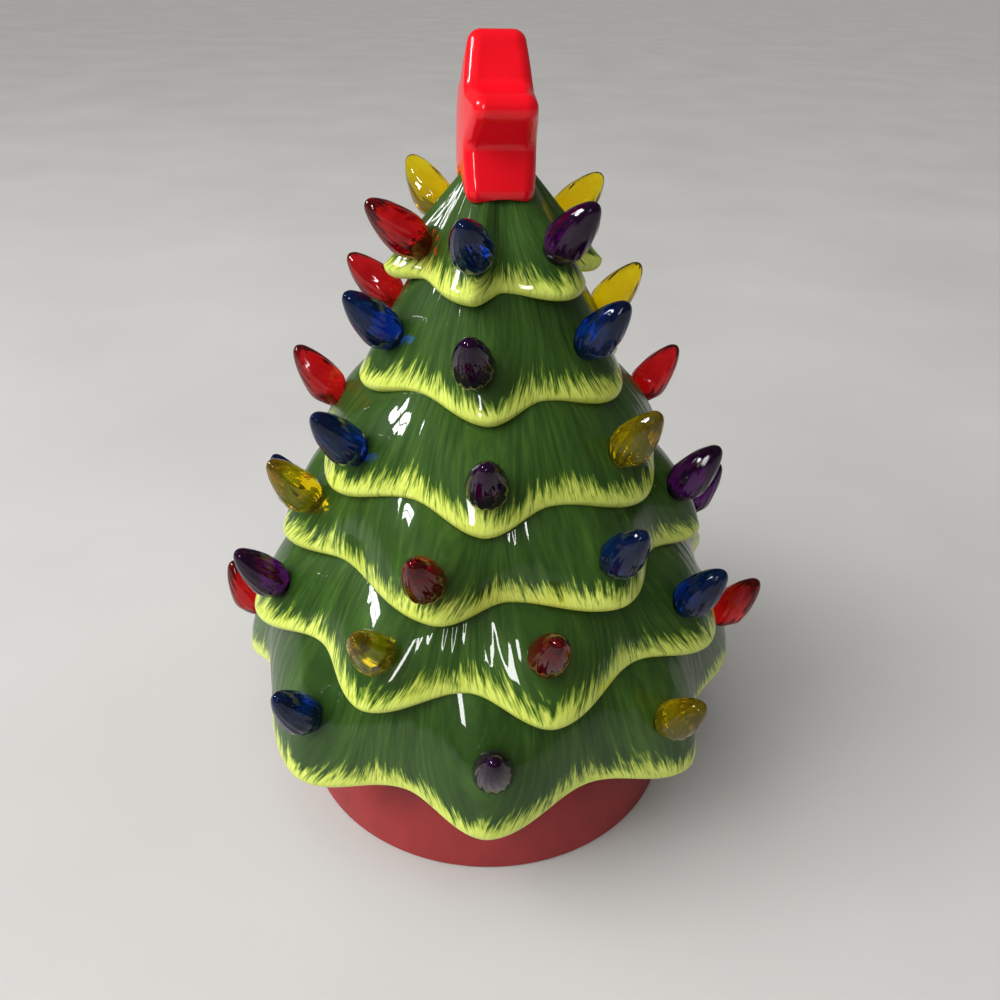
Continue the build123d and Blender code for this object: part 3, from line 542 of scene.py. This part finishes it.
def bulb_places():
    """The node's name and the placing matrix of every bulb."""
    places = []
    for tier, angles in enumerate(BULB_ANGLES):
        rows = zip(angles, BULB_TILTS[tier], BULB_SEAT_SHARES[tier])
        for number, (angle, tilt, share) in enumerate(rows, 1):
            along = Vector(spot(angle, np.cos(radians(tilt)), np.sin(radians(tilt))))
            seat = Vector(spot(angle, *slope_point(tier, angle, share))) - along * BULB_SINK
            side = Vector(spot(angle + SQUARE, 1, 0))
            turn = Matrix((side, along.cross(side), along)).transposed().to_4x4()
            places.append((f"{TIER_NAMES[tier]}_tier_bulb_{number}", Matrix.Translation(seat * MM) @ turn))
    return places


def bulb_cutters(places):
    """All the bulb seats and stem holes as one mesh."""
    stem = BULB_STEM_LENGTH + CUT_RUN
    flank = stem_rings(BULB_HOLE_CLEARANCE, stem) + bulb_flank(CUTTER_ROWS, BULB_CUP_CLEARANCE).tolist()
    points, faces = lathe(flank, CUTTER_TURN_STEPS, -stem, BULB_LENGTH + BULB_CUP_CLEARANCE, plain_round)
    one = new_mesh("bulb_cutter", points, faces)
    joined = bmesh.new()
    for _, place in places:
        placed = one.copy()
        placed.transform(place)
        joined.from_mesh(placed)
        bpy.data.meshes.remove(placed)
    bmesh.ops.recalc_face_normals(joined, faces=joined.faces)
    mesh = bpy.data.meshes.new("bulb_cutters")
    joined.to_mesh(mesh)
    joined.free()
    return smooth_object("bulb_cutters", mesh)


# The tree
def paint_attributes(mesh, source, distance, stroke):
    """Stores each point's distance from the lip and its place among the strokes."""
    nearest = KDTree(len(source))
    for index, point in enumerate(source):
        nearest.insert(point, index)
    nearest.balance()
    found = np.array([nearest.find(vertex.co)[1] for vertex in mesh.vertices])
    edge = mesh.attributes.new("edge", "FLOAT", "POINT")
    edge.data.foreach_set("value", distance[found].astype(np.float32))
    strokes = mesh.attributes.new("stroke", "FLOAT_VECTOR", "POINT")
    strokes.data.foreach_set("vector", stroke[found].astype(np.float32).ravel())


def tree_piece(places, material):
    """The ceramic tree with its grooves, its hollow and a hole for each bulb."""
    angles = np.arange(ANGLE_STEPS) * FULL_TURN / ANGLE_STEPS
    radius, height, distance, stroke, relief = tree_rows(angles)
    points = spot(angles + 0 * radius, radius, height)
    points = points - row_normals(points) * relief[..., None]
    count = radius.size
    poles = [[0, 0, PEG_RINGS[0][1]], [0, 0, CAVITY_TOP[1]]]
    flat = np.vstack([points.reshape(-1, 3), poles])
    mesh = new_mesh("ceramic_tree", flat, grid_faces(len(radius), ANGLE_STEPS, (count, count + 1)))
    piece = smooth_object("ceramic_tree", mesh, material)
    cutters = bulb_cutters(places)
    cut = piece.modifiers.new("bulb_holes", "BOOLEAN")
    cut.operation, cut.solver, cut.object = "DIFFERENCE", "MANIFOLD", cutters
    graph = bpy.context.evaluated_depsgraph_get()
    finished = bpy.data.meshes.new_from_object(piece.evaluated_get(graph))
    piece.modifiers.clear()
    piece.data = finished
    bpy.data.objects.remove(cutters)
    source = (flat[:count] * MM).tolist()
    paint_attributes(finished, source, distance.ravel(), stroke.reshape(-1, 3))
    keep_sharp_edges(finished)
    return piece


# Building blocks of the materials
def new_material(name):
    """A material with its node tree and its shader."""
    material = bpy.data.materials.new(name)
    material.use_nodes = True
    return material, material.node_tree, material.node_tree.nodes["Principled BSDF"]


def add(node_tree, kind, inputs=None, **settings):
    """A node with its settings and inputs. An input is a value, or a socket to link from."""
    node = node_tree.nodes.new(kind)
    for name, value in settings.items():
        setattr(node, name, value)
    for name, value in (inputs or {}).items():
        if isinstance(value, bpy.types.NodeSocket):
            node_tree.links.new(value, node.inputs[name])
        else:
            node.inputs[name].default_value = value
    return node


def object_place(node_tree):
    """Each point's place in its object's own frame."""
    return add(node_tree, "ShaderNodeTexCoord").outputs["Object"]


def stored(node_tree, name, output):
    """A value that the mesh stores at each point."""
    return add(node_tree, "ShaderNodeAttribute", attribute_name=name).outputs[output]


def noise(node_tree, vector, scale, detail=2.0, roughness=0.5):
    """A noise texture's value on a vector."""
    inputs = {"Vector": vector, "Scale": scale, "Detail": detail, "Roughness": roughness}
    return add(node_tree, "ShaderNodeTexNoise", inputs).outputs["Fac"]


def remap(node_tree, value, span, target=(0.0, 1.0), smooth=False):
    """A value moved from one range to another and held inside it."""
    inputs = {"Value": value, "From Min": span[0], "From Max": span[1]}
    inputs.update({"To Min": target[0], "To Max": target[1]})
    kind = "SMOOTHSTEP" if smooth else "LINEAR"
    return add(node_tree, "ShaderNodeMapRange", inputs, interpolation_type=kind).outputs["Result"]


def compute(node_tree, operation, first, second):
    """Arithmetic on two values."""
    return add(node_tree, "ShaderNodeMath", {0: first, 1: second}, operation=operation).outputs["Value"]


def add_shares(node_tree, values, shares):
    """The sum of two values, each taken times its share."""
    parts = [compute(node_tree, "MULTIPLY", value, share) for value, share in zip(values, shares)]
    return compute(node_tree, "ADD", *parts)


def ramp(node_tree, value, stops):
    """A colour that follows a value through (place, colour) stops."""
    node = add(node_tree, "ShaderNodeValToRGB", {"Fac": value})
    elements = node.color_ramp.elements
    while len(elements) < len(stops):
        elements.new(1.0)
    for element, (place, colour) in zip(elements, stops):
        element.position = place
        element.color = (*colour, 1.0)
    return node.outputs["Color"]


def two_tone(node_tree, value, span, colours):
    """A colour between a dark and a bright one, as a value runs through a range."""
    return ramp(node_tree, value, tuple(zip(span, colours)))


def blend(node_tree, share, first, second):
    """Two colours mixed by a share."""
    inputs = dict(zip(MIX_INPUTS, (share, first, second)))
    return add(node_tree, "ShaderNodeMix", inputs, data_type="RGBA").outputs[MIX_OUTPUT]


def bump(node_tree, height, distance, strength):
    """A normal that follows a height."""
    inputs = {"Height": height, "Distance": distance, "Strength": strength}
    return add(node_tree, "ShaderNodeBump", inputs).outputs["Normal"]


def set_sockets(node, values):
    """Sets a node's own sockets by name."""
    for name, value in values.items():
        node.inputs[name].default_value = value


def join(node_tree, shader, sockets):
    """Links sockets to the shader's inputs by name."""
    for name, socket in sockets.items():
        node_tree.links.new(socket, shader.inputs[name])


# Materials
def tree_glaze():
    """Dark green glaze in brushed streaks, with lime strokes feathered up from every lip."""
    material, node_tree, shader = new_material("brushed_green_glaze")
    stroke = stored(node_tree, "stroke", "Vector")
    edge = stored(node_tree, "edge", "Fac")
    broad = noise(node_tree, stroke, BROAD_SCALE)
    streak = noise(node_tree, stroke, STREAK_SCALE, detail=3.0, roughness=0.6)
    hair = noise(node_tree, stroke, HAIR_SCALE, roughness=0.6)
    green = ramp(node_tree, add_shares(node_tree, (streak, broad), GREEN_SHARES), GREENS)
    lime = ramp(node_tree, hair, LIMES)
    spread = add_shares(node_tree, (streak, hair), STROKE_SHARES)
    strokes = remap(node_tree, spread, STROKE_RANGE)
    length = remap(node_tree, broad, BROAD_RANGE, LENGTH_RANGE)
    climb = compute(node_tree, "SUBTRACT", edge, LIME_SOLID)
    climb = compute(node_tree, "DIVIDE", climb, LIME_FEATHER)
    climb = compute(node_tree, "DIVIDE", climb, length)
    left_over = compute(node_tree, "SUBTRACT", strokes, climb)
    above = remap(node_tree, edge, LIME_UNDER, smooth=True)
    thin = compute(node_tree, "MULTIPLY", remap(node_tree, left_over, THIN_RANGE, smooth=True), above)
    thick = compute(node_tree, "MULTIPLY", remap(node_tree, left_over, THICK_RANGE, smooth=True), above)
    colour = blend(node_tree, thick, blend(node_tree, thin, green, THIN_LIME), lime)
    normal = bump(node_tree, spread, GLAZE_BUMP, strength=0.6)
    join(node_tree, shader, {"Base Color": colour, "Normal": normal})
    set_sockets(shader, GLAZE_FINISH)
    return material


def clear_bulb(name, colours):
    """Clear coloured plastic with faint flow marks."""
    material, node_tree, shader = new_material(name)
    place = object_place(node_tree)
    colour = two_tone(node_tree, noise(node_tree, place, SWIRL_SCALE), SWIRL_RANGE, colours)
    ripple = noise(node_tree, place, RIPPLE_SCALE, detail=1.0)
    normal = bump(node_tree, ripple, RIPPLE_BUMP, strength=0.4)
    join(node_tree, shader, {"Base Color": colour, "Normal": normal})
    set_sockets(shader, BULB_FINISH)
    inside = {"Color": (*colours[1], 1.0), "Density": BULB_DENSITY}
    depth = add(node_tree, "ShaderNodeVolumeAbsorption", inside)
    output = node_tree.nodes["Material Output"]
    node_tree.links.new(depth.outputs["Volume"], output.inputs["Volume"])
    return material


def star_glaze():
    """Bright glossy red with soft pooling."""
    material, node_tree, shader = new_material("red_star_glaze")
    place = object_place(node_tree)
    colour = two_tone(node_tree, noise(node_tree, place, STAR_POOL_SCALE), MOTTLE_RANGE, STAR_COLOURS)
    wave = noise(node_tree, place, STAR_WAVE_SCALE, detail=1.0)
    normal = bump(node_tree, wave, STAR_BUMP, strength=0.3)
    join(node_tree, shader, {"Base Color": colour, "Normal": normal})
    set_sockets(shader, STAR_FINISH)
    return material


def speckled(name, colours, roughness, metallic):
    """A moulded or metal surface with slight mottling and grain."""
    material, node_tree, shader = new_material(name)
    place = object_place(node_tree)
    colour = two_tone(node_tree, noise(node_tree, place, MOTTLE_SCALE), MOTTLE_RANGE, colours)
    grain = noise(node_tree, place, GRAIN_SCALE)
    roughnesses = (roughness - ROUGHNESS_SPREAD, roughness + ROUGHNESS_SPREAD)
    dullness = remap(node_tree, grain, MOTTLE_RANGE, roughnesses)
    normal = bump(node_tree, grain, GRAIN_BUMP, strength=0.5)
    join(node_tree, shader, {"Base Color": colour, "Roughness": dullness, "Normal": normal})
    set_sockets(shader, {"Metallic": metallic})
    return material


def pale_floor():
    """A pale floor with slight mottling."""
    material, node_tree, shader = new_material("pale_floor")
    mottle = noise(node_tree, object_place(node_tree), FLOOR_MOTTLE_SCALE, detail=3.0)
    join(node_tree, shader, {"Base Color": two_tone(node_tree, mottle, MOTTLE_RANGE, FLOOR_COLOURS)})
    set_sockets(shader, FLOOR_FINISH)
    return material


# Stage, light and camera
def floor():
    """A wide floor that keeps the shadow."""
    mesh = bpy.data.meshes.new("floor")
    shape = bmesh.new()
    bmesh.ops.create_grid(shape, x_segments=1, y_segments=1, size=FLOOR_HALF)
    shape.to_mesh(mesh)
    shape.free()
    piece = smooth_object("floor", mesh, pale_floor())


def facing(direction):
    """The turn of a lamp that shines in a direction."""
    return Vector(direction).to_track_quat("-Z", "Y").to_euler()


def area_light(name, place, size, power, mirrored):
    """A rectangular lamp aimed at the tree. A mirrored one only shows in gloss, another only lights."""
    lamp = bpy.data.lights.new(name, "AREA")
    lamp.shape = "RECTANGLE"
    lamp.size, lamp.size_y = size
    lamp.energy = power
    piece = add_object(name, lamp)
    piece.location = place
    piece.rotation_euler = facing(Vector((0, 0, TREE_HEIGHT / 2)) - Vector(place))
    piece.visible_diffuse = not mirrored
    piece.visible_glossy = piece.visible_transmission = mirrored


def sky():
    """Even daylight from all round."""
    world = bpy.data.worlds.new("soft_daylight")
    world.use_nodes = True
    set_sockets(world.node_tree.nodes["Background"], {"Color": SKY_COLOUR, "Strength": SKY_STRENGTH})
    bpy.context.scene.world = world


def sun():
    """Soft daylight from the left, the front and above, which only lights."""
    lamp = bpy.data.lights.new("daylight", "SUN")
    lamp.energy, lamp.angle = SUN_STRENGTH, radians(SQUARE)
    piece = add_object("daylight", lamp)
    piece.rotation_euler = facing(SUN_DIRECTION)
    piece.visible_glossy = piece.visible_transmission = False


def lights():
    """Daylight, a ceiling lamp, and bright panes that show in the glaze."""
    sky()
    sun()
    area_light("ceiling", *CEILING, mirrored=False)
    area_light("front_pane", *FRONT_PANE, mirrored=True)
    corners = [(column, row) for column in (-1, 1) for row in (-1, 1)]
    for number, (column, row) in enumerate(corners, 1):
        step = Vector((0, WINDOW_STEPS[0] * column, WINDOW_STEPS[1] * row))
        area_light(f"window_pane_{number}", Vector(WINDOW_MIDDLE) + step, *WINDOW_PANE, mirrored=True)


def camera():
    """The photograph's view."""
    data = bpy.data.cameras.new("camera")
    data.sensor_width = SENSOR_WIDTH
    data.lens = SENSOR_WIDTH * FOCAL_SHARE
    data.clip_start = CAMERA_NEAR
    piece = add_object("camera", data)
    place = Vector(CAMERA_PLACE_SHARES) * TREE_HEIGHT
    pitch = Matrix.Rotation(pi / 2 - CAMERA_PITCH, 4, "X")
    roll = Matrix.Rotation(CAMERA_ROLL, 4, "Z")
    piece.matrix_world = Matrix.Translation(place) @ pitch @ roll
    bpy.context.scene.camera = piece


# Putting it together
def dress(node, material):
    """Gives a node that stays its material."""
    materials = frame["nodes"][node].data.materials
    materials.clear()
    materials.append(material)


def dress_nodes():
    """Gives all the nodes that stay their materials."""
    for node, finish in NODE_FINISHES.items():
        dress(node, speckled(*finish))
    dress("star_topper", star_glaze())


def bulb_pieces(places):
    """A fluted bulb in the place of each bulb node, in the colour of its record slot."""
    slots = {part["node"]: part["material_slot"] for part in frame["record"]["subparts"]}
    plastics = {}
    for colour, shades in BULB_COLOURS.items():
        plastics[f"bulb_{colour}"] = clear_bulb(f"clear_{colour}", shades)
    for node, place in places:
        piece = bulb_piece(f"{node}_fluted", place, plastics[slots[node]])
        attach(piece, "tree")
        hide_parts(node)


bulb_seats = bulb_places()
ceramic_tree = tree_piece(bulb_seats, tree_glaze())
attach(ceramic_tree, "tree")
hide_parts("tree_shell")
bulb_pieces(bulb_seats)
dress_nodes()
floor()
lights()
camera()
bpy.context.scene.view_settings.view_transform = "Standard"
